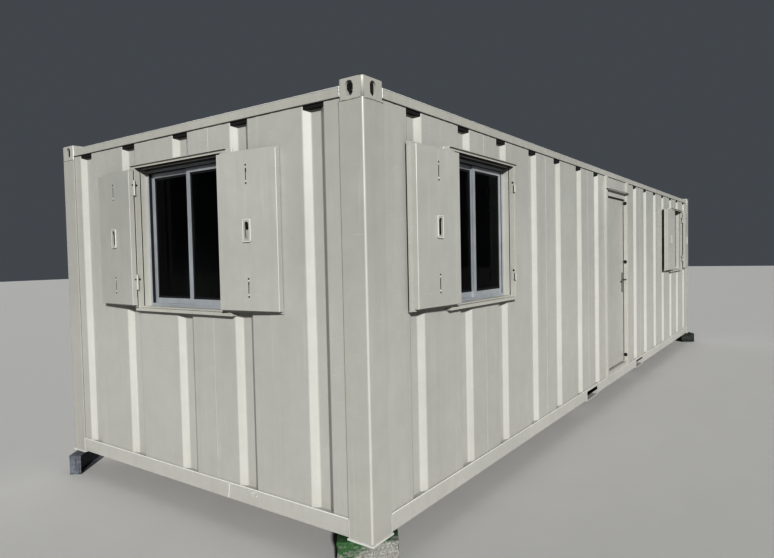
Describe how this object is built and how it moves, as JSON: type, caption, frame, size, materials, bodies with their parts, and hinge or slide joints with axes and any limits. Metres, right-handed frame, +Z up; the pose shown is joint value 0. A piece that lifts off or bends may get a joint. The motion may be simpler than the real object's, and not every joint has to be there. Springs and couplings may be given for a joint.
{
  "type": "portable site cabin",
  "caption": "Portable steel site cabin with pressed wall sheets, hinged window shutters, a single door, fork pockets and lifting castings, standing on packers",
  "frame": {"origin": "on the ground under the middle of the cabin", "axes": "+X along the door wall from the windowed end wall to the plain end wall, -Y out of the door wall, +Z up"},
  "size_m": [9.99, 3.29, 2.6],
  "materials": {
    "grey_paint": "satin",
    "green_timber": "matte",
    "beam_paint": "matte",
    "slider_aluminium": "satin",
    "window_glass": "gloss",
    "lining_board": "matte",
    "floor_board": "matte",
    "underside_steel": "matte",
    "black_plastic": "matte",
    "handle_steel": "satin"
  },
  "bodies": {
    "cabin": {"back_lining": "lining_board", "back_wall": "grey_paint", "base_plates": "grey_paint", "beam_offcuts": "beam_paint", "bottom_end_rails": "grey_paint", "bottom_side_rails": "grey_paint", "ceiling_panel": "lining_board", "corner_castings": "grey_paint", "corner_posts": "grey_paint", "door_frame": "grey_paint", "drip_bar": "grey_paint", "end_linings": "lining_board", "end_shutter_hinges": "grey_paint", "end_window_frame": "grey_paint", "end_window_glass": "window_glass", "end_window_slider": "slider_aluminium", "far_shutter_hinges": "grey_paint", "far_window_frame": "grey_paint", "far_window_glass": "window_glass", "far_window_slider": "slider_aluminium", "floor_deck": "floor_board", "floor_joists": "underside_steel", "fork_pockets": "grey_paint", "front_lining": "lining_board", "front_wall_head": "grey_paint", "front_wall_left": "grey_paint", "front_wall_right": "grey_paint", "jamb_studs": "black_plastic", "left_end_wall": "grey_paint", "near_shutter_hinges": "grey_paint", "near_window_frame": "grey_paint", "near_window_glass": "window_glass", "near_window_slider": "slider_aluminium", "right_end_wall": "grey_paint", "roof_sheet": "grey_paint", "threshold": "grey_paint", "timber_blocks": "green_timber", "top_end_rails": "grey_paint", "top_side_rails": "grey_paint"},
    "door": {"door_leaf": "grey_paint", "door_handle": "handle_steel"},
    "near_left_shutter": {"near_shutter_left": "grey_paint"},
    "far_left_shutter": {"far_shutter_left": "grey_paint"},
    "far_right_shutter": {"far_shutter_right": "grey_paint"},
    "end_left_shutter": {"end_shutter_left": "grey_paint"},
    "end_right_shutter": {"end_shutter_right": "grey_paint"}
  },
  "joints": [
    {"name": "door_swing", "type": "hinge", "parent": "cabin", "child": "door", "pos_m": [-0.436, -1.49, 1.3], "axis": [0, 0, -1], "range_deg": [0, 90]},
    {"name": "near_left_shutter_swing", "type": "hinge", "parent": "cabin", "child": "near_left_shutter", "pos_m": [-4.0015, -1.561, 1.834], "axis": [0, 0, 1], "range_deg": [0, 183]},
    {"name": "far_left_shutter_swing", "type": "hinge", "parent": "cabin", "child": "far_left_shutter", "pos_m": [3.1275, -1.561, 1.834], "axis": [0, 0, 1], "range_deg": [0, 183]},
    {"name": "far_right_shutter_swing", "type": "hinge", "parent": "cabin", "child": "far_right_shutter", "pos_m": [4.0565, -1.561, 1.834], "axis": [0, 0, -1], "range_deg": [0, 183]},
    {"name": "end_left_shutter_swing", "type": "hinge", "parent": "cabin", "child": "end_left_shutter", "pos_m": [-4.911, 0.4755, 1.834], "axis": [0, 0, 1], "range_deg": [0, 184.5]},
    {"name": "end_right_shutter_swing", "type": "hinge", "parent": "cabin", "child": "end_right_shutter", "pos_m": [-4.911, -0.4535, 1.834], "axis": [0, 0, -1], "range_deg": [0, 186]}
  ]
}
